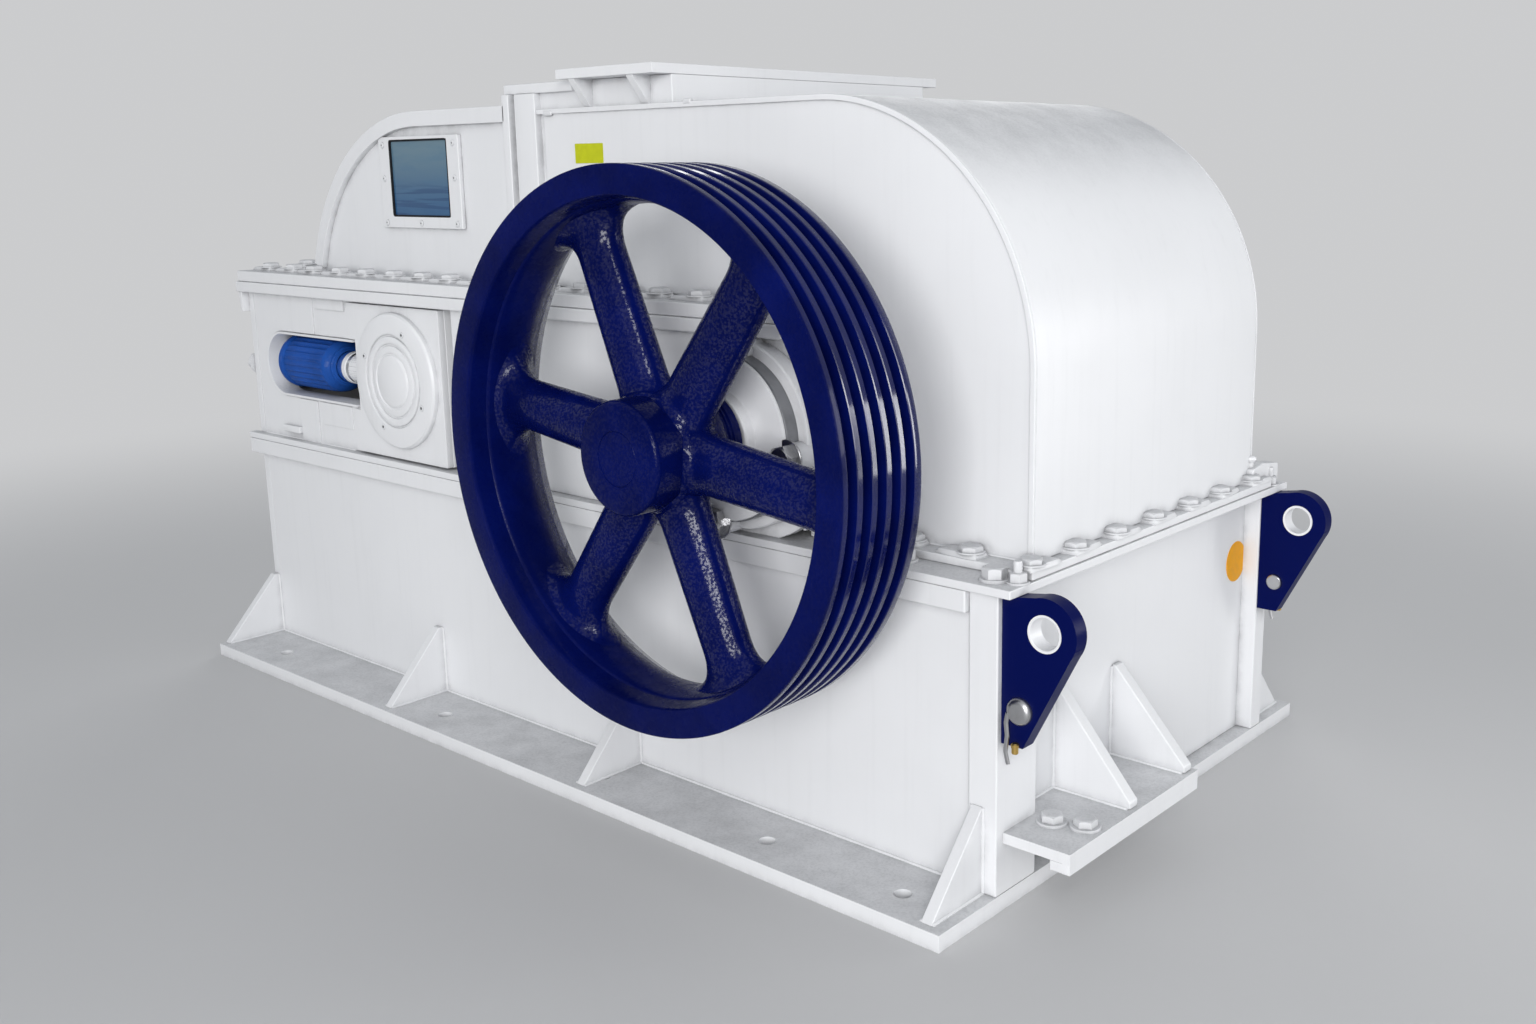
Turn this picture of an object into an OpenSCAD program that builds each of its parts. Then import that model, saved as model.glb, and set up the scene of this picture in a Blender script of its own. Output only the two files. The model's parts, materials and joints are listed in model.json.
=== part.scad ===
// Double toothed-roll crusher: a fixed and a sliding roll in a welded frame, each with its own belt pulley.
// The sliding roll's bearing blocks ride in windows of the frame and are held by two thrust cylinders.
// X runs along the machine, the driven front is at -Y, Z is up from the floor. Millimetres.

/* [Rolls] */
// Diameter of a roll drum between the teeth
drum_d = 1130; // [1080:10:1150]
// Height of a tooth
tooth_h = 75; // [50:5:80]
// Length of a roll
roll_l = 900; // [800:10:1000]
// Gap between the rolls, tooth tip to tooth tip
roll_gap = 180; // [120:10:240]
// Teeth round a roll
tooth_n = 12; // [8:1:14]
// Rings of teeth along a roll
ring_n = 6; // [4:1:7]
// Diameter of a roll shaft
shaft_d = 160; // [140:2:180]
// Travel of the movable roll towards the fixed one
travel_in = 40; // [10:1:60]
// Travel of the movable roll away from the fixed one
travel_out = 15; // [5:1:18]

/* [Frame] */
// Width of the base plate outside each side wall
base_side = 220; // [180:5:260]
// Thickness of the base plate
base_t = 40; // [30:1:50]
// Diameter of a foundation bolt hole
anchor_d = 42; // [30:1:50]
// Thickness of the frame walls
wall_t = 30; // [20:1:35]
// Height of the lower frame, to the top of its flange
lower_h = 745; // [740:1:800]
// Height of the bearing windows
window_h = 475; // [465:1:520]

/* [Pulleys] */
// Outer diameter of a pulley
pulley_d = 1250; // [1100:10:1280]
// Width of a pulley
pulley_w = 250; // [240:5:280]
// Number of belt grooves
groove_n = 5; // [3:1:5]
// Depth of a belt groove
groove_h = 32; // [20:1:36]

/* [Covers] */
// Space between a roll end and the outside of a cover
cover_gap = 70; // [60:1:90]
// Height of the right cover above the roll teeth
right_over = 133; // [110:1:160]
// Height of the left cover above the roll teeth
left_over = 148; // [120:1:170]
// Height of the feed inlet above the right cover
inlet_h = 70; // [50:1:120]
// Thickness of the cover sheets
sheet_t = 10; // [6:1:12]

/* [Hidden] */
$fn = 96;

white = "whitesmoke";
navy = "midnightblue";
steel = "silver";

// Rolls: tooth tips, shafts and axes
tip_r = drum_d / 2 + tooth_h;
shaft_r = shaft_d / 2;
run_gap = 0.1;
bore_r = shaft_r + run_gap;
ring_w = roll_l / ring_n;
offset_x = 80;
fixed_x = roll_gap / 2 + tip_r + offset_x;
movable_x = roll_gap / 2 + tip_r - offset_x;
axis_z = lower_h + window_h * 0.52;

// Widths, from the rolls outwards
cover_y = roll_l / 2 + cover_gap;
chute_y = cover_y - sheet_t;
side_y = cover_y + 120;
base_y = side_y + base_side;
rail_y = side_y + 30;
pulley_gap = 150;
pulley_in = side_y + pulley_gap;
pulley_out = pulley_in + pulley_w;
hub_len = 15;
hub_out = pulley_out + hub_len;

// Lower frame
end_x = fixed_x + tip_r + 80;
flange_x = end_x + 40;
flange_t = 20;
rail_h = 50;
frame_top = lower_h - flange_t;
rail_z = frame_top - rail_h;
left_end = -flange_x + 15;
post_w = 75;
post_d = 140;
back_post_d = 45;
post_out = 15;
recess = 45;
right_wall_x = end_x - recess;

// Foundation bolts
anchor_y = base_y - 95;
mid_anchor = 355;
anchor_x = [-end_x + 270, -mid_anchor, mid_anchor, end_x - 580, end_x - 170];

// Triangular stiffeners along the side walls
gusset_t = 30;
gusset_h = 205;
gusset_x = [-end_x + gusset_t / 2, -end_x + 990, end_x - 1180];
corner_gusset_x = end_x - 50;

// Foot shelf on the right end
shelf_z = 185;
shelf_t = 25;
shelf_x = end_x + 170;
shelf_end = -side_y + 580;
foot_t = 35;

// Upper frame
beam_t = 35;
beam_z = lower_h + window_h;
beam_right = fixed_x + 130;
cover_z = beam_z + 2 * beam_t;
plate_t = 30;
bearing_r = axis_z - lower_h - 22;
nose_r = shaft_r + 70;
cap_r = bearing_r - 20;
block_w = 450;
block_gap = 5;
block_in = roll_l / 2 + 40;
end_gap = 6;
slot_r = 106;
slot_x = -end_x + 200;
slot_end = -movable_x - block_w / 2 - travel_out - end_gap;
side_left = -movable_x + block_w / 2 + travel_in + end_gap;

// Thrust cylinders
cyl_r = 88;
cyl_y = side_y - 85;
cyl_left = slot_x - 40;
cyl_right = slot_end - 189;
rod_r = 50;
rod_in = 110;
screw_r = 28;
nut_r = 58;
nut_h = 36;

// Covers
left_top = axis_z + tip_r + left_over;
right_top = axis_z + tip_r + right_over;
left_r = tip_r;
left_x = -movable_x;
right_r = tip_r - 45;
right_x = end_x;
inlet_l = -movable_x + 442;
inlet_r = fixed_x - 370;
inlet_top = right_top + inlet_h;
chute_t = 12;
chute_in = chute_y - chute_t;
chute_z = axis_z + tip_r - 87;
plate_l = inlet_l + 148;
rim_h = 27;
rim_z = inlet_top;
rim_t = 15;
lip_l = inlet_l + 276;
lip_r = inlet_r;
lip_side = 55;
lip_t = 25;
lip_top = inlet_top + lip_t;
rib_t = 24;

// Inspection window
insp_x = left_x + 4;
insp_z = left_top - 206;
insp_w = 205;
insp_h = 135;
glass_w = 147;
glass_h = 112;
glass_z = insp_z + 12;

// Pulleys
pulley_r = pulley_d / 2;
rim_r = pulley_r - 85;
groove_p = 44.5;
hub_r = 128;
arm_r = 60;

// Lifting lugs
lug_t = 40;
lug_x = end_x + 182;
lug_hole = [end_x + 105, lower_h - 87];
lug_hole_r = 41;
lug_low = lower_h - 350;
pin_x = end_x + 48;
pin_z = lower_h - 267;
pin_r = 20.7;

module bar(x0, x1, y0, y1, z0, z1) {
    translate([x0, y0, z0]) cube([x1 - x0, y1 - y0, z1 - z0]);
}

// Both sides of the machine
module both_sides() {
    children();
    mirror([0, 1, 0]) children();
}

// A flat shape drawn in X and Z, from y0 to y1
module along_y(y0, y1) {
    translate([0, y1, 0]) rotate([90, 0, 0]) linear_extrude(y1 - y0) children();
}

// A round piece on a Y axis
module round_y(x, z, r, y0, y1) {
    translate([x, y1, z]) rotate([90, 0, 0]) cylinder(h = y1 - y0, r = r);
}

// A round piece on an X axis
module round_x(y, z, r, x0, x1) {
    translate([x0, y, z]) rotate([0, 90, 0]) cylinder(h = x1 - x0, r = r);
}

module base_plate() {
    color(white) difference() {
        bar(-end_x, end_x, -base_y, base_y, 0, base_t);
        bar(-end_x + 280, end_x - 280, -side_y + 80, side_y - 80, -1, base_t + 1);
        for (x = anchor_x, s = [-1, 1]) translate([x, s * anchor_y, -1]) cylinder(h = base_t + 2, d = anchor_d);
    }
}

module wall_plate() {
    bar(-end_x + wall_t, end_x - post_w, -side_y, -side_y + wall_t, base_t, rail_z);
}

module front_wall() {
    color(white) wall_plate();
}

module back_wall() {
    color(white) mirror([0, 1, 0]) wall_plate();
}

module left_end_wall() {
    color(white) difference() {
        bar(-end_x, -end_x + wall_t, -side_y, side_y, base_t, beam_z);
        for (s = [-1, 1]) round_x(s * cyl_y, axis_z, screw_r + 0.3, -end_x - 1, -end_x + wall_t + 1);
    }
}

module right_end_wall() {
    color(white) bar(right_wall_x - wall_t, right_wall_x, -side_y + post_d, side_y - back_post_d, base_t, frame_top);
}

module corner_posts() {
    color(white) {
        bar(end_x - post_w, end_x, -side_y - post_out, -side_y + post_d, base_t, frame_top);
        bar(end_x - post_w, end_x, side_y - back_post_d, side_y + post_out, base_t, frame_top);
    }
}

module lower_rails() {
    color(white) both_sides() {
        bar(left_end, end_x - post_w, -rail_y, -side_y, rail_z, frame_top);
        bar(-end_x + wall_t, end_x - post_w, -side_y - 1, -side_y + wall_t, rail_z, frame_top);
    }
}

module frame_top_flange() {
    color(white) difference() {
        bar(left_end, flange_x, -rail_y, rail_y, frame_top, lower_h);
        bar(-end_x + wall_t, end_x - 100, -cover_y + 20, cover_y - 20, frame_top - 1, lower_h + 1);
        bar(-flange_x, -end_x + wall_t, -side_y, side_y, frame_top - 1, lower_h + 1);
    }
}

// Upright triangular stiffener on the base plate
module wall_gusset(x) {
    translate([x + gusset_t / 2, 0, 0]) rotate([90, 0, -90]) linear_extrude(gusset_t)
        polygon([[side_y, base_t], [base_y - 20, base_t],
            [side_y + 15, base_t + gusset_h], [side_y, base_t + gusset_h]]);
}

module wall_gussets() {
    color(white) both_sides() {
        for (x = gusset_x) wall_gusset(x);
        intersection() {
            wall_gusset(corner_gusset_x);
            bar(0, 2 * end_x, -2 * base_y, -side_y - post_out, 0, 2 * gusset_h);
        }
    }
}

module foot_shelf() {
    color(white) difference() {
        union() {
            bar(end_x, shelf_x, -side_y + 10, shelf_end, shelf_z - shelf_t, shelf_z);
            bar(right_wall_x, end_x, -side_y + post_d, shelf_end, shelf_z - shelf_t, shelf_z);
            bar(shelf_x - 20, shelf_x, -side_y + 10, shelf_end, shelf_z - 48, shelf_z - shelf_t);
        }
        for (p = [[end_x + 55, 120], [shelf_x - 45, 145]])
            translate([p[0], -side_y + p[1], shelf_z - 2 * shelf_t]) cylinder(h = 3 * shelf_t, d = 33);
    }
}

module foot_gusset(y, h) {
    along_y(y, y + foot_t)
        polygon([[right_wall_x, shelf_z], [shelf_x - 12, shelf_z], [shelf_x - 12, shelf_z + 16],
            [right_wall_x + 10, shelf_z + h], [right_wall_x, shelf_z + h]]);
}

module foot_gussets() {
    color(white) {
        foot_gusset(-side_y + 280, 245);
        foot_gusset(-side_y + 535, 230);
    }
}

// Side plate of the window, with the open-ended slot for the cylinder
module slot_plate() {
    difference() {
        bar(-end_x + wall_t, slot_end, -side_y, -side_y + plate_t, lower_h, beam_z);
        round_y(slot_x, axis_z, slot_r, -side_y - 1, -side_y + plate_t + 1);
        bar(slot_x, slot_end + 1, -side_y - 1, -side_y + plate_t + 1, axis_z - slot_r, axis_z + slot_r);
    }
}

module front_slot_plate() {
    color(white) slot_plate();
}

module back_slot_plate() {
    color(white) mirror([0, 1, 0]) slot_plate();
}

// Side plate that carries the fixed bearing
module side_plate() {
    difference() {
        along_y(-side_y, -side_y + plate_t) intersection() {
            union() {
                translate([side_left, lower_h]) square([fixed_x - side_left, beam_z - lower_h]);
                translate([fixed_x, axis_z]) circle(bearing_r + 35);
            }
            translate([side_left, lower_h]) square([2 * end_x, window_h]);
        }
        round_y(fixed_x, axis_z, bearing_r - 115, -side_y - 1, -side_y + plate_t + 1);
    }
}

module front_side_plate() {
    color(white) side_plate();
}

module back_side_plate() {
    color(white) mirror([0, 1, 0]) side_plate();
}

module upper_beams() {
    color(white) {
        both_sides() bar(left_end, beam_right, -rail_y, -cover_y, beam_z, beam_z + beam_t);
        bar(left_end, -end_x + 60, -cover_y, cover_y, beam_z, beam_z + beam_t);
    }
}

module upper_cover_flange() {
    color(white) difference() {
        bar(left_end + 10, beam_right, -rail_y + 4, rail_y - 4, beam_z + beam_t, cover_z);
        bar(left_x - left_r + 20, beam_right + 1, -cover_y, cover_y, beam_z, cover_z + 1);
    }
}

module left_profile(g) {
    intersection() {
        union() {
            translate([left_x, left_top - left_r]) circle(left_r - g);
            translate([left_x, left_top - left_r]) square([inlet_l - left_x - g, left_r - g]);
        }
        translate([inlet_l - g - 2 * end_x, cover_z - (g > 0 ? 1 : 0)]) square([2 * end_x, left_top]);
    }
}

module left_cover() {
    color(white) difference() {
        along_y(-cover_y, cover_y) left_profile(0);
        along_y(-cover_y + sheet_t, cover_y - sheet_t) left_profile(sheet_t);
        bar(left_x, inlet_l + 1, -chute_y, chute_y, cover_z - 1, chute_z);
        translate([insp_x, -cover_y, glass_z])
            cube([2 * glass_w - 40, 3 * sheet_t, 2 * glass_h - 40], center = true);
    }
}

module inlet_chute() {
    color(white) difference() {
        union() {
            bar(inlet_l, inlet_r, -chute_y, chute_y, cover_z, inlet_top);
            bar(inlet_l - rim_t, lip_l, -chute_y - rim_t, chute_y + rim_t, rim_z - rim_h, rim_z);
        }
        bar(inlet_l + chute_t, inlet_r - chute_t, -chute_in, chute_in, cover_z - 1, rim_z + 1);
        bar(inlet_l - 1, inlet_r + 1, -chute_in, chute_in, cover_z - 1, chute_z);
    }
}

module inlet_lip() {
    color(white) {
        difference() {
            bar(lip_l, lip_r, -cover_y - lip_side, cover_y + lip_side, inlet_top, lip_top);
            bar(lip_l - 1, inlet_r - chute_t, -chute_in, chute_in, inlet_top - 1, lip_top + 1);
        }
        both_sides() for (x = [lip_l + 57, lip_r - 90]) translate([x - rib_t / 2, 0, 0])
            rotate([90, 0, 90]) linear_extrude(rib_t)
                polygon([[-chute_y, right_top], [-chute_y, inlet_top + 5],
                    [-cover_y - lip_side + 4, inlet_top + 5], [-cover_y - lip_side + 6, inlet_top - 5], [-cover_y, right_top]]);
    }
}

module right_profile(g) {
    union() {
        translate([right_x - right_r, right_top - right_r]) circle(right_r - g);
        translate([inlet_r + g, cover_z]) square([right_x - right_r - inlet_r - g, right_top - cover_z - g]);
        translate([beam_right + g, lower_h + flange_t]) 
            square([right_x - beam_right - 2 * g, right_top - right_r - (lower_h + flange_t)]);
        translate([beam_right + g, lower_h + flange_t + 1]) square([100, right_top - right_r / 2 - lower_h]);
    }
}

module right_cover() {
    color(white) {
        difference() {
            along_y(-cover_y, cover_y) intersection() {
                right_profile(0);
                union() {
                    translate([inlet_r, cover_z]) square([2 * end_x, right_top]);
                    translate([beam_right, lower_h + flange_t]) square([2 * end_x, right_top]);
                }
            }
            along_y(-chute_y, chute_y) union() {
                right_profile(sheet_t);
                translate([beam_right - 1, lower_h]) 
                    square([right_x - sheet_t - beam_right + 1, right_top - right_r - lower_h]);
                translate([inlet_r - 1, cover_z - 1]) square([beam_right - inlet_r + 20, chute_z - cover_z]);
            }
        }
        both_sides() {
            bar(plate_l, inlet_r + 1, -cover_y, -chute_y, cover_z, right_top);
            bar(beam_right, beam_right + sheet_t, -side_y + plate_t, -chute_y, lower_h + flange_t, beam_z);
        }
    }
}

module right_cover_flange() {
    color(white) difference() {
        bar(beam_right, flange_x - 5, -cover_y - 60, cover_y + 60, lower_h, lower_h + flange_t);
        bar(beam_right - 1, right_x - sheet_t, -chute_y, chute_y, lower_h - 1, lower_h + flange_t + 1);
    }
}

module inspection_frame() {
    color(white) difference() {
        bar(insp_x - insp_w, insp_x + insp_w, -cover_y - 14, -cover_y, insp_z - insp_h, insp_z + insp_h);
        translate([insp_x, -cover_y - 7, glass_z]) cube([2 * glass_w, 16, 2 * glass_h], center = true);
    }
}

module inspection_glass() {
    color("steelblue")
        bar(insp_x - glass_w, insp_x + glass_w, -cover_y - 8, -cover_y, glass_z - glass_h, glass_z + glass_h);
}

module bearing_housing(closed) {
    difference() {
        union() {
            round_y(fixed_x, axis_z, bearing_r, -side_y - 60, -side_y);
            round_y(fixed_x, axis_z, bearing_r - 117, -side_y, -side_y + plate_t + 60);
            if (closed) round_y(fixed_x, axis_z, cap_r - 20, -side_y - 85, -side_y - 60);
            else round_y(fixed_x, axis_z, nose_r, -pulley_in + 15, -side_y - 60);
        }
        round_y(fixed_x, axis_z, bore_r, closed ? -side_y - 45 : -pulley_in, -block_in);
    }
}

module fixed_bearing_front() {
    color(white) bearing_housing(false);
}

module fixed_bearing_back() {
    color(white) mirror([0, 1, 0]) bearing_housing(true);
}

// Roll shaft
module shaft(x, y0, y1) {
    round_y(x, axis_z, shaft_r, y0, y1);
}

module fixed_shaft() {
    color(steel) shaft(fixed_x, -hub_out + 6, side_y + 35);
}

module tooth() {
    polygon([[drum_d / 2 - 20, -60], [tip_r, -12], [tip_r, 12], [drum_d / 2 - 20, 60]]);
}

// Toothed drum
module roll(x, turn) {
    translate([x, 0, axis_z]) difference() {
        union() {
            round_y(0, 0, drum_d / 2, -roll_l / 2, roll_l / 2);
            for (i = [0:ring_n - 1], k = [0:tooth_n - 1])
                rotate([0, turn + (k + (i % 2) / 2) * 360 / tooth_n, 0])
                    along_y(-roll_l / 2 + (i + 0.15) * ring_w, -roll_l / 2 + (i + 0.85) * ring_w) tooth();
        }
        round_y(0, 0, shaft_r, -roll_l, roll_l);
    }
}

module fixed_roll() {
    color(steel) roll(fixed_x, 0);
}

module movable_roll() {
    color(steel) roll(-movable_x, 15);
}

// Pulley on a Y axis, outer face at the low Y end
module pulley_at(x) {
    translate([x, -pulley_in, axis_z]) rotate([90, 0, 0]) children();
}

module groove(z) {
    translate([0, 0, z]) rotate_extrude()
        polygon([[pulley_r + 1, -16.5], [pulley_r + 1, 16.5],
            [pulley_r - groove_h, 10], [pulley_r - groove_h, -10]]);
}

module pulley_rim() {
    difference() {
        cylinder(h = pulley_w, r = pulley_r);
        translate([0, 0, -1]) cylinder(h = pulley_w + 2, r = rim_r);
        for (i = [0:groove_n - 1]) groove(pulley_w / 2 + (i - (groove_n - 1) / 2) * groove_p);
    }
}

// Hub with six round arms
module pulley_spider() {
    difference() {
        intersection() {
            union() {
                cylinder(h = pulley_w + hub_len, r = hub_r);
                for (k = [0:5]) rotate([0, 0, -7 + 60 * k]) translate([hub_r / 2, 0, pulley_w / 2])
                    rotate([0, 90, 0]) cylinder(h = rim_r, r = arm_r);
            }
            cylinder(h = pulley_w + hub_len, r = rim_r);
        }
        translate([0, 0, -1]) cylinder(h = pulley_w + 2 * hub_len, r = shaft_r);
    }
}

module front_pulley_rim() {
    color(navy) pulley_at(fixed_x) pulley_rim();
}

module front_pulley_spider() {
    color(navy) pulley_at(fixed_x) pulley_spider();
}

module back_pulley_rim() {
    color(navy) mirror([0, 1, 0]) pulley_at(-movable_x) pulley_rim();
}

module back_pulley_spider() {
    color(navy) mirror([0, 1, 0]) pulley_at(-movable_x) pulley_spider();
}

// Sliding bearing block of the movable roll
module bearing_block(closed) {
    difference() {
        union() {
            bar(-movable_x - block_w / 2, -movable_x + block_w / 2, -side_y + 10, -block_in,
                lower_h + block_gap, beam_z - block_gap);
            round_y(-movable_x, axis_z, cap_r, -side_y - 25, -side_y + 10);
            if (!closed) round_y(-movable_x, axis_z, nose_r, -pulley_in + 15, -side_y - 25);
        }
        round_y(-movable_x, axis_z, bore_r, closed ? -side_y + 5 : -pulley_in, -block_in + 1);
    }
}

module movable_block_front() {
    color(white) bearing_block(true);
}

module movable_block_back() {
    color(white) mirror([0, 1, 0]) bearing_block(false);
}

module movable_shaft() {
    color(steel) shaft(-movable_x, -side_y + 12, hub_out - 6);
}

module push_rods() {
    color(steel) both_sides() round_x(-cyl_y, axis_z, rod_r, cyl_right - rod_in, -movable_x - block_w / 2);
}

module thrust_cylinders() {
    color("royalblue") both_sides() difference() {
        union() {
            round_x(-cyl_y, axis_z, cyl_r, cyl_left, cyl_right);
            bar(-end_x + wall_t, cyl_left, -side_y + plate_t, -cyl_y + 35, axis_z - 60, axis_z + 60);
            round_x(-cyl_y, axis_z, screw_r, -end_x - 50, -end_x + wall_t);
        }
        round_x(-cyl_y, axis_z, rod_r + run_gap, cyl_right - rod_in - travel_out - 15, cyl_right + 1);
    }
}

module adjusting_nuts() {
    color(steel) both_sides() difference() {
        translate([-end_x - nut_h, -cyl_y, axis_z]) rotate([0, 90, 0]) cylinder(h = nut_h, r = nut_r, $fn = 6);
        round_x(-cyl_y, axis_z, screw_r + 0.3, -end_x - 40, -end_x + 1);
    }
}

module lug() {
    along_y(-side_y, -side_y + lug_t) difference() {
        union() {
            translate(lug_hole) circle(lug_x - lug_hole[0]);
            polygon([[end_x, lug_low], [end_x + 55, lug_low], [lug_x - 4, lug_hole[1] - 25],
                [lug_hole[0], lug_hole[1] + lug_x - lug_hole[0]], [flange_x, frame_top], [end_x, frame_top]]);
        }
        translate(lug_hole) circle(lug_hole_r);
        translate([pin_x, pin_z]) circle(pin_r + 0.3);
    }
}

module lifting_lugs() {
    color(navy) both_sides() lug();
}

module lug_pins() {
    color(steel) both_sides() {
        round_y(pin_x, pin_z, pin_r, -side_y - 5, -side_y + lug_t + 10);
        round_y(pin_x, pin_z, pin_r + 10, -side_y - 15, -side_y);
    }
}

base_plate();
front_wall();
back_wall();
left_end_wall();
right_end_wall();
corner_posts();
lower_rails();
frame_top_flange();
wall_gussets();
foot_shelf();
foot_gussets();
front_slot_plate();
back_slot_plate();
front_side_plate();
back_side_plate();
upper_beams();
upper_cover_flange();
left_cover();
inlet_chute();
inlet_lip();
right_cover();
right_cover_flange();
inspection_frame();
inspection_glass();
fixed_bearing_front();
fixed_bearing_back();
fixed_shaft();
fixed_roll();
front_pulley_rim();
front_pulley_spider();
movable_block_front();
movable_block_back();
push_rods();
thrust_cylinders();
adjusting_nuts();
movable_shaft();
movable_roll();
back_pulley_rim();
back_pulley_spider();
lifting_lugs();
lug_pins();
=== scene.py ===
# Looks of a double toothed-roll crusher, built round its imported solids.
# Z is up, the driven front is at -Y and the lifting lugs are at +X. Shapes are worked out in millimetres and become
# metres when their mesh is made; materials, lamps and the camera are in metres.
import json
import math

import bmesh
import bpy
import numpy as np
from mathutils import Matrix, Vector

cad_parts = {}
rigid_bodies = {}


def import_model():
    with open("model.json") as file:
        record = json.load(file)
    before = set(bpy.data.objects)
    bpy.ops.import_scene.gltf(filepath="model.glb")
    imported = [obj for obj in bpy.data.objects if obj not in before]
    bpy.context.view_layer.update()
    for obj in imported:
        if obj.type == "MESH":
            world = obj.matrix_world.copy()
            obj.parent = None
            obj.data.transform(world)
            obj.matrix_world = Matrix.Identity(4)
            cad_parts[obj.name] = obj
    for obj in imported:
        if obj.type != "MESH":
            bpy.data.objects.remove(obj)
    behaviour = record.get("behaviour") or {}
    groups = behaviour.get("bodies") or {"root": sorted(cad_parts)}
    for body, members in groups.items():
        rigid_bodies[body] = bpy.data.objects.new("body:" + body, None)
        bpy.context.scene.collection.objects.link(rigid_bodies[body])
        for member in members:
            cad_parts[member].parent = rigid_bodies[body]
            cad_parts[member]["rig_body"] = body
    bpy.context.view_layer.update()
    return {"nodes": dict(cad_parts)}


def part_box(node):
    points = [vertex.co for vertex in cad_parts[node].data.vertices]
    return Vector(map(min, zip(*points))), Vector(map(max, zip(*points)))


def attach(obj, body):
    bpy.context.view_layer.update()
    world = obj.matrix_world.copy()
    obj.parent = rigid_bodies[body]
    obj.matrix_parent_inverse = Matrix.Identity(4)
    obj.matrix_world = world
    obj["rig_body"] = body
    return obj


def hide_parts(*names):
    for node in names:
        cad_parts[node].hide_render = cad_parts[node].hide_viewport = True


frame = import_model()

solids = frame["nodes"]
MM = 0.001
TURN = 2 * math.pi
UP, FRONT, BACK, LEFT, RIGHT = (0, 0, 1), (0, -1, 0), (0, 1, 0), (-1, 0, 0), (1, 0, 0)
chance = np.random.default_rng(7)


def lo_hi(node):
    """Lowest and highest corner of a solid, in millimetres."""
    return tuple(np.array(corner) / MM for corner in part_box(node))


# ---- shapes ----
# A shape is its points and blocks of faces; every face of a block has the same number of corners.


def outward(shape):
    """The shape with its faces turned outwards: the volume summed under its faces comes out positive."""
    points, blocks = shape
    volume = sum(np.einsum("ik,ijk->", points[b[:, 0]], np.cross(points[b[:, 1:-1]], points[b[:, 2:]]))
                 for b in blocks)
    return points, (blocks if volume > 0 else [b[:, ::-1] for b in blocks])


def merged(shapes):
    """Several shapes as one: their points end to end, their faces renumbered."""
    starts = np.cumsum([0] + [len(p) for p, _ in shapes])
    return (np.concatenate([p for p, _ in shapes]),
            [b + start for (_, blocks), start in zip(shapes, starts) for b in blocks])


def skin(rings, closed=False):
    """A surface over loops of points: neighbours are joined by four-sided faces, and the first and last loop are
    capped, or joined when closed. A loop drawn in to one point needs no cap."""
    rings = np.asarray(rings, float)
    rows, cols = rings.shape[:2]
    row, col = np.meshgrid(np.arange(rows if closed else rows - 1), np.arange(cols), indexing="ij")
    here, over, after = row * cols, (row + 1) % rows * cols, (col + 1) % cols
    blocks = [np.stack([here + col, here + after, over + after, over + col], -1).reshape(-1, 4)]
    if not closed:
        blocks += [(start + np.arange(cols))[None, ::step]
                   for start, step, ring in ((0, -1, rings[0]), ((rows - 1) * cols, 1, rings[-1]))
                   if np.ptp(ring, axis=0).max() > 1e-4]
    return outward((rings.reshape(-1, 3), blocks))


def unit(v):
    return v / np.linalg.norm(v, axis=-1, keepdims=True)


def square_to(axis):
    """Three unit vectors at right angles, the last along the axis."""
    w = unit(np.array(axis, float))
    u = unit(np.cross(UP if abs(w[2]) < 0.9 else RIGHT, w))
    return u, np.cross(w, u), w


def circle(radius, steps=12):
    angle = np.linspace(0, TURN, steps, endpoint=False)
    return np.stack([np.cos(angle), np.sin(angle)], 1) * radius


def revolved(profile, base, axis, steps=96):
    """Pairs of radius and height turned about an axis, each round the circle of its radius at its height. A profile
    with both ends off the axis closes on itself."""
    profile = np.array(profile, float)
    u, v, w = square_to(axis)
    wheel = circle(1, steps) @ np.array([u, v])
    rings = np.array(base) + profile[:, 0, None, None] * wheel + profile[:, 1, None, None] * w
    return skin(rings, closed=profile[0, 0] > 0 and profile[-1, 0] > 0)


def rounded(corners, radii, steps=7):
    """A polygon with rounded corners: each corner gives an arc from one side's tangent point to the other's."""
    p = np.array(corners, float)
    r = np.maximum(np.broadcast_to(np.array(radii, float), len(p)), 1e-2)[:, None]
    u, v = (unit(np.roll(p, n, 0) - p) for n in (1, -1))
    half = 0.5 * np.arccos(np.clip((u * v).sum(1), -1, 1))[:, None]
    centre = p + unit(u + v) * r / np.sin(half)
    first, last = (p + w * r / np.tan(half) - centre for w in (u, v))
    omega = (math.pi - 2 * half)[:, :, None]
    s = np.linspace(0, 1, steps)[None, :, None]
    arc = (np.sin((1 - s) * omega) * first[:, None] + np.sin(s * omega) * last[:, None]) / np.sin(omega)
    line = (centre[:, None] + arc).reshape(-1, 2)
    return line[np.linalg.norm(line - np.roll(line, 1, 0), axis=1) > 1e-3]


def drawn_in(outline, depth):
    """A closed outline moved inwards by a depth along the mean of its neighbouring sides' normals."""
    after = np.roll(outline, -1, 0)
    side = after - outline
    area = (outline[:, 0] * after[:, 1] - outline[:, 1] * after[:, 0]).sum()
    normal = unit(np.stack([-side[:, 1], side[:, 0]], 1)) * np.sign(area)
    before = np.roll(normal, 1, 0)
    return outline + depth * (normal + before) / np.maximum(1 + (normal * before).sum(1, keepdims=True), 0.3)


AXES = {"x": (1, 2, 0), "y": (0, 2, 1), "z": (0, 1, 2)}


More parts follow.
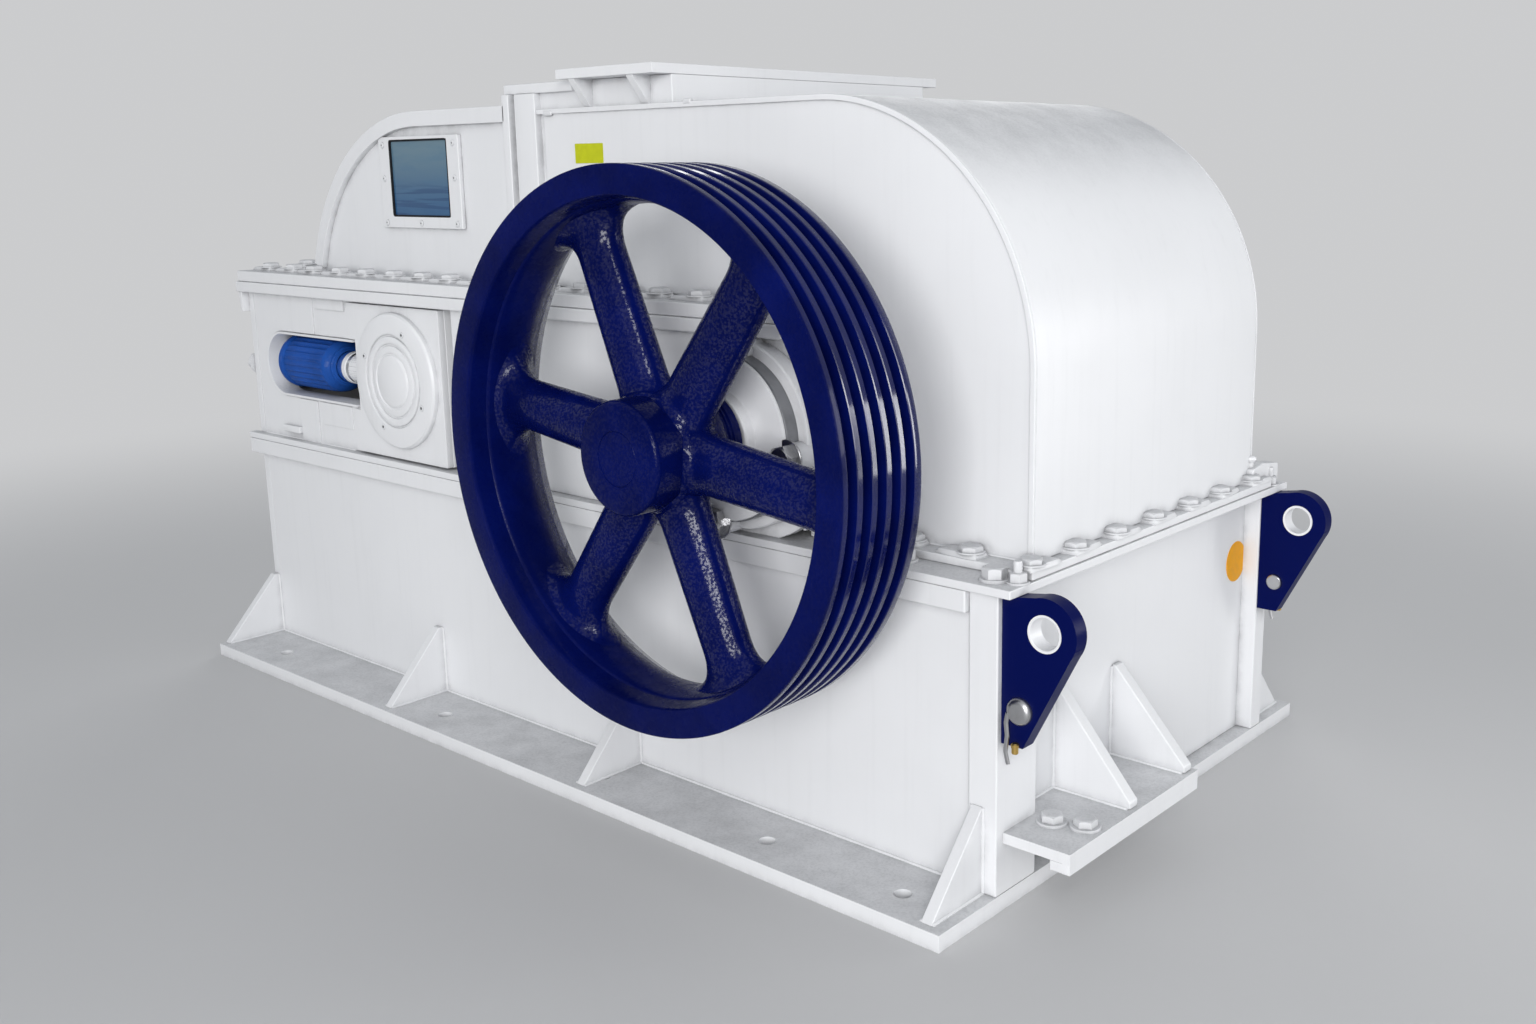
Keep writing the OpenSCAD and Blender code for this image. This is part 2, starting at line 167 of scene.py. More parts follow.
def slab(outline, low, high, along="z", edge=2):
    """A flat outline carried along an axis from low to high, its rims rounded: near each end the outline is drawn in
    by edge times (1 - sine) while its level moves by edge times (1 - cosine) of an angle from 0 to 90 degrees."""
    outline = np.array(outline, float)
    turn = np.radians([0, 35, 65, 90])
    step = edge * (1 - np.cos(turn))
    levels = np.concatenate([low + step, high - step[::-1]])
    insets = edge * (1 - np.sin(np.concatenate([turn, turn[::-1]])))
    a, b, c = AXES[along]
    rings = np.zeros((len(levels), len(outline), 3))
    for ring, level, inset in zip(rings, levels, insets):
        ring[:, [a, b]] = drawn_in(outline, inset)
        ring[:, c] = level
    return skin(rings)


def rectangle(a0, b0, a1, b1):
    return [(a0, b0), (a1, b0), (a1, b1), (a0, b1)]


def block(low, high, edge=2, corner=0, along="z"):
    """A rounded bar between two corners."""
    a, b, c = AXES[along]
    low, high = np.sort([low, high], axis=0)
    return slab(rounded(rectangle(low[a], low[b], high[a], high[b]), max(corner, edge)), low[c], high[c], along, edge)


def along_path(path, section, up, closed=False):
    """A section of (side, up) pairs, or one per point, carried along a path: its side axis is square to the path and
    to up."""
    path = np.array(path, float)
    if closed:
        ahead, behind = np.roll(path, -1, 0), np.roll(path, 1, 0)
    else:
        ahead = np.concatenate([path[1:], 2 * path[-1:] - path[-2:-1]])
        behind = np.concatenate([2 * path[:1] - path[1:2], path[:-1]])
    d = unit(ahead - behind)
    side = unit(np.cross(d, up))
    top = np.cross(side, d)
    section = np.array(section, float)
    if section.ndim == 2:
        section = np.broadcast_to(section, (len(path),) + section.shape)
    return skin(path[:, None] + section[..., :1] * side[:, None] + section[..., 1:] * top[:, None], closed)


def bead(path, up, size):
    """A weld bead along straight runs: a round section whose radius rises and falls as the size of a sine once every
    pitch, with a slow wander over it."""
    pitch, per_pitch = 11, 3.2
    path = np.array(path, float)
    run = np.concatenate([[0], np.cumsum(np.linalg.norm(np.diff(path, axis=0), axis=1))])
    at = np.linspace(0, run[-1], max(2, int(run[-1] / (pitch / per_pitch))))
    points = np.stack([np.interp(at, run, path[:, i]) for i in range(3)], 1)
    n = np.arange(len(points))
    wander = 0.08 * np.sin(n * 0.171 + path[0, 0] * 9 * MM)
    radius = size * (0.86 + 0.16 * np.abs(np.sin(n * math.pi / per_pitch)) + wander)
    return along_path(points, radius[:, None, None] * circle(1, 7)[None], up)


def bolt(flat, height, washer, thick, stud=0):
    """A six-sided head on a washer: rings of a radius for every angle, which is flat / cosine of the angle from the
    nearest flat for the head, whose top falls away towards its corners. A round stud may stand on it."""
    angle = np.linspace(0, TURN, 36, endpoint=False)
    six = flat / np.cos((angle + math.pi / 6) % (math.pi / 3) - math.pi / 6)
    top, rod = thick + height, 0.58 * flat
    rows = [(washer, 0), (washer, thick * 0.7), (washer - thick * 0.3, thick),
            (six, thick), (six, top - 0.55 * (six - 0.9 * flat)), (0.9 * flat, top)]
    if stud:
        threads = np.linspace(0, 1, 7)[1:-1]
        rows += [(rod, top)] + [(rod - 0.05 * flat * (i % 2), top + stud * t) for i, t in enumerate(threads, 1)]
        rows += [(rod * 0.85, top + stud)]
    radius, level = (np.array([v + 0 * angle for v in column]) for column in zip(*rows))
    return skin(np.stack([radius * np.cos(angle), radius * np.sin(angle), level], -1))


def placed(shape, spots, axis, turns=None):
    """Copies of a shape, its Z along the axis, turned about it and moved to each spot."""
    u, v, w = square_to(axis)
    points, blocks = shape
    spots = np.array(spots, float)
    turns = chance.uniform(0, TURN, len(spots)) if turns is None else np.broadcast_to(turns, len(spots))
    copies = []
    for spot, turn in zip(spots, turns):
        c, s = math.cos(turn), math.sin(turn)
        copies.append((points @ np.array([c * u + s * v, c * v - s * u, w]) + spot, blocks))
    return merged(copies)


def twins(x, y, z):
    """A spot and its mirror image in Y."""
    return [(x, y, z), (x, -y, z)]


def both_sides(*shapes):
    """Shapes and their mirror images in Y."""
    points, blocks = shape = merged(shapes)
    return merged([shape, (points * [1, -1, 1], [b[:, ::-1] for b in blocks])])


# ---- materials ----


def put(near, kind, values=(), **settings):
    """Adds a node to the tree that holds near, sets its properties, and fills its inputs with numbers or links."""
    tree = near.id_data
    node = tree.nodes.new(kind if kind.startswith("Node") else "ShaderNode" + kind)
    for key, value in settings.items():
        setattr(node, key, value)
    for key, value in dict(values).items():
        if isinstance(value, bpy.types.NodeSocket):
            tree.links.new(value, node.inputs[key])
        else:
            node.inputs[key].default_value = value
    return node


def wire(node, **links):
    """Links values to a node's inputs by name."""
    for key, value in links.items():
        node.id_data.links.new(value, node.inputs[key.replace("_", " ")])
    return node.id_data


def maths(operation, a, b=0.0, clamp=False):
    return put(a, "Math", {0: a, 1: b}, operation=operation, use_clamp=clamp).outputs[0]


def times(a, b, clamp=False):
    return maths("MULTIPLY", a, b, clamp)


def plus(a, b, clamp=False):
    return maths("ADD", a, b, clamp)


def shade(colour, share, lift=0.0):
    return tuple(c * share + lift for c in colour)


def blended(factor, a, b):
    a, b = ((*c, 1) if isinstance(c, tuple) else c for c in (a, b))
    return put(factor, "Mix", {0: factor, 6: a, 7: b}, data_type="RGBA").outputs[2]


def ranged(value, low, high, to_low=0.0, to_high=1.0):
    ends = {"Value": value, "From Min": low, "From Max": high, "To Min": to_low, "To Max": to_high}
    return put(value, "MapRange", ends, interpolation_type="SMOOTHSTEP").outputs[0]


def noise(place, scale, detail, rough, stretch=None):
    """Noise at a place, which may first be stretched along X, Y and Z."""
    if stretch:
        place = put(place, "Mapping", {"Vector": place, "Scale": stretch}, vector_type="POINT").outputs[0]
    return put(place, "TexNoise", {"Vector": place, "Scale": scale, "Detail": detail, "Roughness": rough}).outputs[0]


def effect(name, inputs, outputs):
    """An empty shader group with named inputs and outputs: its inputs, output node and Object coordinates."""
    tree = bpy.data.node_groups.new(name, "ShaderNodeTree")
    for label, value in inputs.items():
        tree.interface.new_socket(label, in_out="INPUT", socket_type="NodeSocketFloat").default_value = value
    for label in outputs:
        tree.interface.new_socket(label, in_out="OUTPUT", socket_type="NodeSocketFloat")
    start, end = put(tree, "NodeGroupInput"), put(tree, "NodeGroupOutput")
    return start.outputs, end, put(tree, "TexCoord").outputs["Object"]


def settled_dust_and_top_shade():
    """Grey dust and painted shade on faces that look up, which stand darker as the light falls mostly from the front:
    the normal's Z through a soft step, broken up by noise.
    """
    given, end, place = effect("Settled dust", {"Amount": 0.5, "Patches": 9.0}, ["Mask"])
    up = put(place, "SeparateXYZ", {0: put(place, "NewGeometry").outputs["Normal"]}).outputs[2]
    # Painted shade as well as dust: faces that look up are marked, as the light falls mostly from the front.
    level = ranged(up, 0.55, 0.98)
    patch = ranged(noise(place, given["Patches"], 6, 0.62), 0.25, 0.75, 0.55, 1.0)
    fine = ranged(noise(place, 160, 3, 0.6), 0.4, 0.7, -0.12, 0.12)
    cover = plus(patch, fine)
    return wire(end, Mask=times(times(level, cover), given["Amount"], True))


def corner_grime_and_shade():
    """Grey film where plates meet, part grime and part painted shade: what a short sweep of nearby surfaces hides,
    broken up by noise.
    """
    given, end, place = effect("Corner grime", {"Reach": 0.03, "Amount": 0.5}, ["Mask"])
    # Painted shade: the mask is what nearby surfaces hide, which is where shade falls.
    hidden = put(place, "AmbientOcclusion", {"Distance": given["Reach"]}, samples=6).outputs["AO"]
    mask = ranged(hidden, 0.95, 0.25)
    patch = ranged(noise(place, 22, 5, 0.6), 0.3, 0.7, 0.35, 1.0)
    return wire(end, Mask=times(times(mask, patch), given["Amount"], True))


def orange_peel():
    """The fine dimpled skin of sprayed paint, with the slow waviness of rolled plate under it."""
    given, end, place = effect("Orange peel", {"Scale": 240.0, "Waves": 0.5}, ["Height"])
    fine = noise(place, given["Scale"], 2, 0.4)
    slow = times(noise(place, 5, 2, 0.4), given["Waves"])
    return wire(end, Height=plus(times(fine, 0.12), slow))


def handling_marks():
    """Rub marks and streaks: one noise stretched along X, one along Z, through narrow steps."""
    given, end, place = effect("Handling marks", {"Amount": 0.5}, ["Mask", "Streaks"])
    rubs = ranged(noise(place, 2.2, 6, 0.66, (3, 9, 26)), 0.58, 0.74)
    runs = ranged(noise(place, 1.7, 5, 0.6, (24, 24, 1.1)), 0.5, 0.8)
    return wire(end, Mask=times(rubs, given["Amount"], True), Streaks=times(runs, given["Amount"], True))


def cast_skin():
    """The rough skin of sand-cast iron under paint: grains, a slower swell, and scattered pits."""
    given, end, place = effect("Cast skin", {"Grain": 150.0}, ["Height", "Pits"])
    grain = noise(place, given["Grain"], 4, 0.62)
    swell = noise(place, 32, 3, 0.5)
    cells = put(place, "TexVoronoi", {"Vector": place, "Scale": 95.0}, feature="F1").outputs["Distance"]
    pits = ranged(cells, 0.28, 0.05)
    height = plus(times(grain, 0.5), times(swell, 0.75))
    return wire(end, Height=maths("SUBTRACT", height, times(pits, 0.25)), Pits=pits)


def turned_lines():
    """Fine tool lines round a shaft that lies along Y, with faint smears of oil."""
    given, end, place = effect("Turned lines", {"Pitch": 900.0}, ["Height", "Smears"])
    return wire(end, Height=noise(place, given["Pitch"], 2, 0.5, (0.02, 1.0, 0.02)),
                Smears=ranged(noise(place, 14, 5, 0.6), 0.42, 0.68))


DUST_AND_TOP_SHADE, GRIME_AND_SHADE, PEEL, MARKS, CAST, TURNED = (
    settled_dust_and_top_shade(), corner_grime_and_shade(), orange_peel(), handling_marks(), cast_skin(), turned_lines())


def use(near, group, **values):
    return put(near, "Group", {key.capitalize(): v for key, v in values.items()}, node_tree=group).outputs


def finish(name, **shader):
    """A material with its shader's own numbers set: the material, its shader and Object coordinates."""
    material = bpy.data.materials.new(name)
    material.use_nodes = True
    tree = material.node_tree
    surface = tree.nodes["Principled BSDF"]
    for key, value in shader.items():
        surface.inputs[key.replace("_", " ")].default_value = value
    return material, surface, put(tree, "TexCoord").outputs["Object"]


def bumped(height, strength, distance):
    return put(height, "Bump", {"Strength": strength, "Distance": distance * MM, "Height": height}).outputs[0]


def sprayed_paint(name, colour, dust_and_top_shade=0.5, grime_and_corner_shade=0.5, roughness=0.34, marks=0.35, peel=0.25, gloss=0.4):
    """Sprayed paint on welded plate: colour drifts slightly, dust and painted shade grey the top faces, grime and
    painted shade darken the corners.
    """
    material, surface, place = finish(name, IOR=1.5, Specular_IOR_Level=gloss)
    drift = ranged(noise(place, 2.3, 4, 0.5), 0.3, 0.7)
    rubs, runs = use(place, MARKS, amount=marks)
    dust_and_top_shade_mask, grime_and_corner_shade_mask = use(place, DUST_AND_TOP_SHADE, amount=dust_and_top_shade)[0], use(place, GRIME_AND_SHADE, amount=grime_and_corner_shade)[0]
    base = blended(drift, shade(colour, 0.965), colour)
    base = blended(times(runs, 0.22), base, shade(colour, 0.55, 0.02))
    # Dust and painted shade: faces that look up are greyed.
    base = blended(dust_and_top_shade_mask, base, (0.20, 0.205, 0.215))
    # Grime and painted shade: corners are darkened.
    base = blended(grime_and_corner_shade_mask, base, (0.13, 0.13, 0.14))
    dull = plus(times(dust_and_top_shade_mask, 0.45), times(rubs, 0.2))
    wire(surface, Base_Color=base, Roughness=plus(dull, roughness, True),
         Normal=bumped(use(place, PEEL)[0], peel, 1))
    return material


def cast_paint(name, colour, roughness=0.2, strength=0.55, coat=0.65, gloss=0.04, crown=()):
    """Glossy paint over a rough casting: the skin breaks up highlights, pits hold a darker tone. A crown, given as the
    axis' X and Z, a radius and a face's Y, is the grooved outside of a rim, rubbed bright by belts."""
    material, surface, place = finish(name, Coat_Roughness=0.1, IOR=1.5, Specular_IOR_Level=gloss)
    height, pits = use(place, CAST)
    drift = ranged(noise(place, 6, 4, 0.55), 0.3, 0.7)
    base = blended(drift, shade(colour, 0.75), shade(colour, 1.2))
    base = blended(times(pits, 0.4), base, shade(colour, 0.5))
    rough = ranged(noise(place, 40, 4, 0.6), 0.35, 0.7, roughness, roughness + 0.16)
    sparkle = ranged(noise(place, 170, 3, 0.6), 0.47, 0.57, 0.02, coat)
    if crown:
        x, z, radius, face = (v * MM for v in crown)
        parts = put(place, "SeparateXYZ", {0: place}).outputs
        across, up = maths("SUBTRACT", parts["X"], x), maths("SUBTRACT", parts["Z"], z)
        reach = maths("SQRT", plus(times(across, across), times(up, up)))
        outside = ranged(reach, radius - 44 * MM, radius - 38 * MM)
        behind = ranged(maths("ABSOLUTE", parts["Y"]), face - 5 * MM, face - 9 * MM)
        sparkle = plus(times(times(outside, behind), 0.75), sparkle, True)
    wire(surface, Base_Color=base, Roughness=rough, Coat_Weight=sparkle, Normal=bumped(height, strength, 2.2))
    return material


def bare_metal(name, colour, roughness, smear=0.12, strength=0.1):
    """Machined steel with fine tool lines and faint oil smears."""
    material, surface, place = finish(name, Metallic=1.0, IOR=2.4)
    lines, smears = use(place, TURNED)
    wire(surface, Base_Color=blended(times(smears, 0.35), colour, shade(colour, 0.62)),
         Roughness=plus(times(smears, smear), roughness, True), Normal=bumped(lines, strength, 0.3))
    return material


def cast_steel(name):
    """Manganese steel of the toothed rolls: dark oxide skin, worn bright in patches."""
    material, surface, place = finish(name, Metallic=1.0, IOR=2.4)
    worn = ranged(noise(place, 11, 5, 0.6), 0.5, 0.66)
    wire(surface, Base_Color=blended(worn, (0.11, 0.105, 0.10), (0.36, 0.35, 0.34)),
         Roughness=ranged(worn, 0, 1, 0.62, 0.36), Normal=bumped(use(place, CAST, grain=90.0)[0], 0.6, 3))
    return material


def window_glass(name):
    """Blue safety glass drawn opaque, its colour painted: the painted shade of a dark inside, a painted reflection that
    makes it greyer towards its top, darker painted shade bands low down, and faint wipe marks in its gloss.
    """
    material, surface, place = finish(name, IOR=1.52, Coat_Weight=0.6, Coat_Roughness=0.03)
    height = put(place, "SeparateXYZ", {0: place}).outputs[2]
    low, high = (corner[2] * MM for corner in lo_hi("inspection_glass"))
    rise = ranged(height, low, high)
    # Painted reflection: the pane turns greyer towards its top; its dark blue is painted shade of the inside.
    base = blended(rise, (0.028, 0.105, 0.235), (0.135, 0.225, 0.285))
    wipe = ranged(noise(place, 7, 4, 0.55, (1, 1, 5)), 0.4, 0.7)
    base = blended(times(wipe, 0.25), base, (0.05, 0.15, 0.27))
    # Painted shade: darker bands of the inside, low down on the pane.
    inside_shade_bands = ranged(noise(place, 2.6, 2, 0.4, (1.6, 1, 34)), 0.5, 0.62)
    lower = ranged(rise, 0.45, 0.25)
    base = blended(times(times(inside_shade_bands, lower), 0.6), base, (0.012, 0.055, 0.16))
    wire(surface, Base_Color=base, Roughness=ranged(wipe, 0, 1, 0.06, 0.16))
    return material


def soft_plastic(name, colour, roughness):
    """Rubber, plastic film or enamel: one tone that drifts a little, with a fine grain."""
    material, surface, place = finish(name, IOR=1.48, Specular_IOR_Level=0.2)
    drift = ranged(noise(place, 60, 3, 0.5), 0.3, 0.7)
    wire(surface, Base_Color=blended(drift, shade(colour, 0.92), colour),
         Roughness=ranged(drift, 0, 1, roughness, roughness + 0.08),
         Normal=bumped(noise(place, 500, 2, 0.5), 0.1, 0.3))
    return material


WHITE = (0.82, 0.825, 0.84)
NAVY = (0.0012, 0.0042, 0.068)
white = sprayed_paint("white paint", WHITE)
white_plain = sprayed_paint("white paint on castings", WHITE, dust_and_top_shade=0.35, peel=0.4)
white_bolts = sprayed_paint("white paint on bolts", (0.74, 0.745, 0.76), dust_and_top_shade=0.45, grime_and_corner_shade=0.75, roughness=0.4, peel=0.9)
bead_paint = sprayed_paint("white paint on welds", WHITE, dust_and_top_shade=0.2, grime_and_corner_shade=0.3, roughness=0.38, peel=0.5)
navy = sprayed_paint("navy paint on lugs", NAVY, dust_and_top_shade=0.03, grime_and_corner_shade=0.1, roughness=0.3, marks=0.15, peel=0.4, gloss=0.04)
navy_cast = cast_paint("navy paint on castings", NAVY)
navy_hub = cast_paint("navy paint on hubs", NAVY, strength=0.3, coat=0.25, gloss=0.03)
blue = cast_paint("blue paint on cylinders", (0.014, 0.075, 0.33), roughness=0.3, strength=0.25, coat=0.2)
chrome = bare_metal("hard chrome", (0.80, 0.81, 0.83), 0.10, 0.08, 0.03)
turned = bare_metal("turned steel", (0.52, 0.52, 0.53), 0.28)
dark_band_steel = bare_metal("dark band steel", (0.30, 0.305, 0.32), 0.42)
roll_metal = cast_steel("roll steel")
glass = window_glass("blue glass with painted shade and reflection")
# Black rubber for the gasket; the same dark material paints the shade in the screws' sockets.
rubber_and_hole_shade = soft_plastic("black rubber", (0.012, 0.013, 0.016), 0.55)
orange = soft_plastic("orange enamel", (0.90, 0.40, 0.006), 0.4)
yellow = soft_plastic("yellow film", (0.56, 0.60, 0.016), 0.35)
brass = bare_metal("brass", (0.62, 0.42, 0.13), 0.3)

# ---- pieces ----


def shown(name, data):
    piece = bpy.data.objects.new(name, data)
    bpy.context.scene.collection.objects.link(piece)
    return piece


def joined(mesh, reach, flats=False):
    """Merges a mesh's doubles, and when asked joins the triangles of its flat faces."""
    work = bmesh.new()
    work.from_mesh(mesh)
    bmesh.ops.remove_doubles(work, verts=work.verts, dist=reach)
    if flats:
        bmesh.ops.dissolve_limit(work, angle_limit=math.radians(0.4), verts=work.verts, edges=work.edges)
    work.to_mesh(mesh)
    work.free()
    return mesh


def meshed(name, shape, unit=MM):
    points, blocks = shape
    mesh = bpy.data.meshes.new(name)
    mesh.from_pydata((points * unit).tolist(), [], [tuple(f) for b in blocks for f in b.tolist()])
    return joined(mesh, 2e-6)


def shaded(mesh, material, angle):
    """Smooth shading with sharp edges above an angle, and round every face of over four corners so it stays flat."""
    mesh.materials.clear()
    mesh.materials.append(material)
    mesh.shade_smooth()
    mesh.set_sharp_from_angle(angle=math.radians(angle))
    corners, edge_of, sharp = (np.zeros(len(of), int) for of in (mesh.polygons, mesh.loops, mesh.edges))
    mesh.polygons.foreach_get("loop_total", corners)
    mesh.loops.foreach_get("edge_index", edge_of)
    mesh.edges.foreach_get("use_edge_sharp", sharp)
    sharp[edge_of[np.repeat(corners > 4, corners)]] = 1
    mesh.edges.foreach_set("use_edge_sharp", sharp)


def fitted(name, mesh, body, stands_for):
    """A piece on the body it rides, in place of the solids it stands for."""
    piece = shown(name, mesh)
    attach(piece, body)
    if stands_for:
        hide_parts(*stands_for)
    return piece


def made(name, shapes, material, body="frame", angle=32, stands_for=()):
    """A piece from one shape or a list of them."""
    mesh = meshed(name, merged(shapes) if isinstance(shapes, list) else shapes)
    shaded(mesh, material, angle)
    fitted(name, mesh, body, stands_for)


def softened(node, width, material, segments=2):
    """A copy of a solid with its doubles merged, its flat faces joined, and its sharp edges rounded."""
    mesh = joined(solids[node].data.copy(), 1e-5, True)
    shaded(mesh, material, 28)
    piece = fitted(node + "_finish", mesh, solids[node]["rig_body"], (node,))
    rounding = piece.modifiers.new("rounding", "BEVEL")
    rounding.width, rounding.segments, rounding.limit_method = width * MM, segments, "ANGLE"
    rounding.angle_limit, rounding.harden_normals, rounding.use_clamp_overlap = math.radians(28), True, True


ROUNDING = {
    "base_plate": 3, "front_wall": 2, "back_wall": 2, "left_end_wall": 4, "right_end_wall": 2, "corner_posts": 4,
    "lower_rails": 4, "frame_top_flange": 3, "wall_gussets": 3, "foot_shelf": 3, "foot_gussets": 4,
    "front_slot_plate": 4, "back_slot_plate": 4, "front_side_plate": 3, "back_side_plate": 3, "upper_beams": 5,
    "upper_cover_flange": 4, "left_cover": 3, "inlet_chute": 3, "inlet_lip": 5, "right_cover": 4,
    "right_cover_flange": 3, "inspection_frame": 3, "movable_block_front": 5, "movable_block_back": 5,
}
for node, width in ROUNDING.items():
    softened(node, width, white)
softened("lifting_lugs", 5, navy, 3)
softened("fixed_roll", 4, roll_metal)
softened("movable_roll", 4, roll_metal)
for node, metal in (("fixed_shaft", turned), ("movable_shaft", turned), ("push_rods", chrome)):
    shaded(solids[node].data, metal, 28)

# Places taken from the solids
(base_lo, base_hi), (flange_lo, flange_hi), (seat_lo, seat_hi), (left_lo, left_hi), (right_lo, right_hi) = map(
    lo_hi, ("base_plate", "frame_top_flange", "upper_cover_flange", "left_cover", "right_cover"))
(foot_lo, foot_hi), (chute_lo, chute_hi), (shelf_lo, shelf_hi), (slot_lo, slot_hi), (pane_lo, pane_hi) = map(
    lo_hi, ("right_cover_flange", "inlet_chute", "foot_shelf", "front_slot_plate", "inspection_glass"))
(rim_lo, rim_hi), (back_rim_lo, back_rim_hi), (thrust_lo, thrust_hi), (rod_lo, rod_hi), (pin_lo, pin_hi) = map(
    lo_hi, ("front_pulley_rim", "back_pulley_rim", "thrust_cylinders", "push_rods", "lug_pins"))
(sash_lo, sash_hi), (wall_lo, _), (block_lo, _), (beam_lo, _), (post_lo, _), (lug_lo, _) = map(
    lo_hi, ("inspection_frame", "front_wall", "movable_block_front", "upper_beams", "corner_posts", "lifting_lugs"))
(_, end_hi), (_, gusset_hi), (gusset_lo, _) = map(lo_hi, ("right_end_wall", "wall_gussets", "foot_gussets"))
fixed_x, movable_x = (rim_lo[0] + rim_hi[0]) / 2, (back_rim_lo[0] + back_rim_hi[0]) / 2
axis_z = (rim_lo[2] + rim_hi[2]) / 2
cylinder_y = rod_lo[1] + (rod_hi[2] - rod_lo[2]) / 2
side_y, cover_y, plate_back = wall_lo[1], left_lo[1], slot_lo[1]
end_pad = wall_lo[0] - 30


# Pulleys
def rim_profile(outer, width):
    """Half section of the grooved rim: a flat front ring, crowns and V grooves outside, and a taper inside from the
    ring to the web where the arms end."""
    pitch = 44.5
    grooves = [(outer + r, width / 2 + i * pitch + a) for i in range(-2, 3) for r, a in
               ((0, -15.8), (-1.8, -14.2), (-30, -9), (-30, 9), (-1.8, 14.2), (0, 15.8))]
    ring = [(outer - r, a) for r, a in ((63, 0), (3, 0), (0.8, 0.8), (0, 3))]
    back = [(outer - r, width - a) for r, a in (
        (0, 3), (0.8, 0.8), (3, 0), (16, 0), (19, 1.5), (22, 5), (40, 34), (60, 64), (74, 84), (82, 102))]
    inside = [(outer - r, a) for r, a in (
        (85, 125), (84.8, 105), (84, 88), (81, 70), (78, 57), (76, 52), (73.5, 49), (71, 30), (68, 9), (66.5, 4.5),
        (64.5, 1))]
    return ring + grooves + back + inside


def hub_profile(front, back):
    """Half section of the hub: a capped face with a fine joint ring, a chamfered rim, a swell where the arms grow
    out, and a ribbed neck."""
    line = [
        (0, 1), (59, 1), (60, 2.2), (61.5, 2.2), (62.5, 0), (66, 0), (116, 0), (122, 2), (126.5, 7), (128, 13),
        (128, 94), (133, 97), (135, 100), (135, 107), (133, 110), (136, 122), (139, 135), (140, 148), (139, 165),
        (135, 190), (130, 208), (124, 216), (124, 221), (120, 223), (120, 226), (124, 228), (124, 233), (120, 235),
        (120, 238), (124, 240), (124, 245), (120, 247)]
    bore = 83
    return [(r, front + a) for r, a in line] + [(120, back), (bore, back), (bore, front + 6), (0, front + 6)]


def arm_shape(hub, rim, width, turn):
    """One arm: ellipses on cylinders of growing radius from inside the hub to inside the rim. Each half width is a
    straight taper plus a quarter-round flare: size less the root of (size squared - (size - distance) squared)."""
    start, length = hub - 14, rim - hub + 24
    s = 0.5 * (1 - np.cos(math.pi * np.linspace(0, 1, 46)[:, None]))
    middle = start + s * length

    def flare(distance, size):
        distance = np.clip(distance, 0, size)
        return size - np.sqrt(np.maximum(size ** 2 - (size - distance) ** 2, 0))

    angle = np.linspace(0, TURN, 40, endpoint=False)[None]
    wide = (69 - 8 * s + flare(rim - middle, 82) + flare(middle - hub, 38)) * np.cos(angle)
    deep = (52 - 6 * s + flare(rim - middle, 26) + flare(middle - hub, 16)) * np.sin(angle)
    slope = np.interp(np.abs(deep), [20, 37, 55, 76, 120], [0, 3, 9, 17, 30])
    along = np.sqrt((start + s * (length + slope)) ** 2 - wide ** 2)
    c, n = math.cos(turn), math.sin(turn)
    return skin(np.stack([along * c - wide * n, deep + width / 2 + 0 * along, along * n + wide * c], -1))


def pulley(label, x, outer, inward, body):
    """Rim, arms and hub of a pulley whose outer face lies at the given Y."""
    low, high = lo_hi(label + "_rim")
    width, radius = high[1] - low[1], (high[0] - low[0]) / 2
    crown = x, axis_z, radius, abs(outer)
    rim_paint = cast_paint("navy paint on " + label.replace("_", " ") + " rim", NAVY, 0.22, 0.16, 0.12, crown=crown)
    centre, axis = (x, outer, axis_z), (0, inward, 0)
    made(label + "_rim_casting", revolved(rim_profile(radius, width), centre, axis, 192), rim_paint, body,
         24, (label + "_rim",))
    low, high = lo_hi(label + "_spider")
    hub = revolved(hub_profile(width - high[1] + low[1], width), centre, axis)
    arms = []
    for k in range(6):
        points, blocks = arm_shape(131, radius - 85, width, math.radians(-7 + 60 * k))
        arms.append(outward((points * [1, inward, 1] + centre, blocks)))
    made(label + "_spider_casting", arms, navy_cast, body, 60, (label + "_spider",))
    made(label + "_hub_casting", hub, navy_hub, body, 30)


pulley("front_pulley", fixed_x, rim_lo[1], 1, "fixed_roll_set")
pulley("back_pulley", movable_x, back_rim_hi[1], -1, "movable_roll_set")


# Bearings
def ring_spots(x, y, radius, degrees):
    """Spots on a circle round a roll's axis: radius times cosine along X, radius times sine along Z."""
    angle = np.radians(degrees)
    return np.stack([x + radius * np.cos(angle), np.full(len(angle), y), axis_z + radius * np.sin(angle)], 1)


def flange_bolts(x, y, out, radius, degrees, flat):
    return placed(bolt(flat, 24, flat * 1.5, 5), ring_spots(x, y, radius, degrees), (0, out, 0))


def turned_at(profile, spots, steps):
    """The same turned shape at each spot, facing the front."""
    return [revolved(profile, spot, FRONT, steps) for spot in spots]


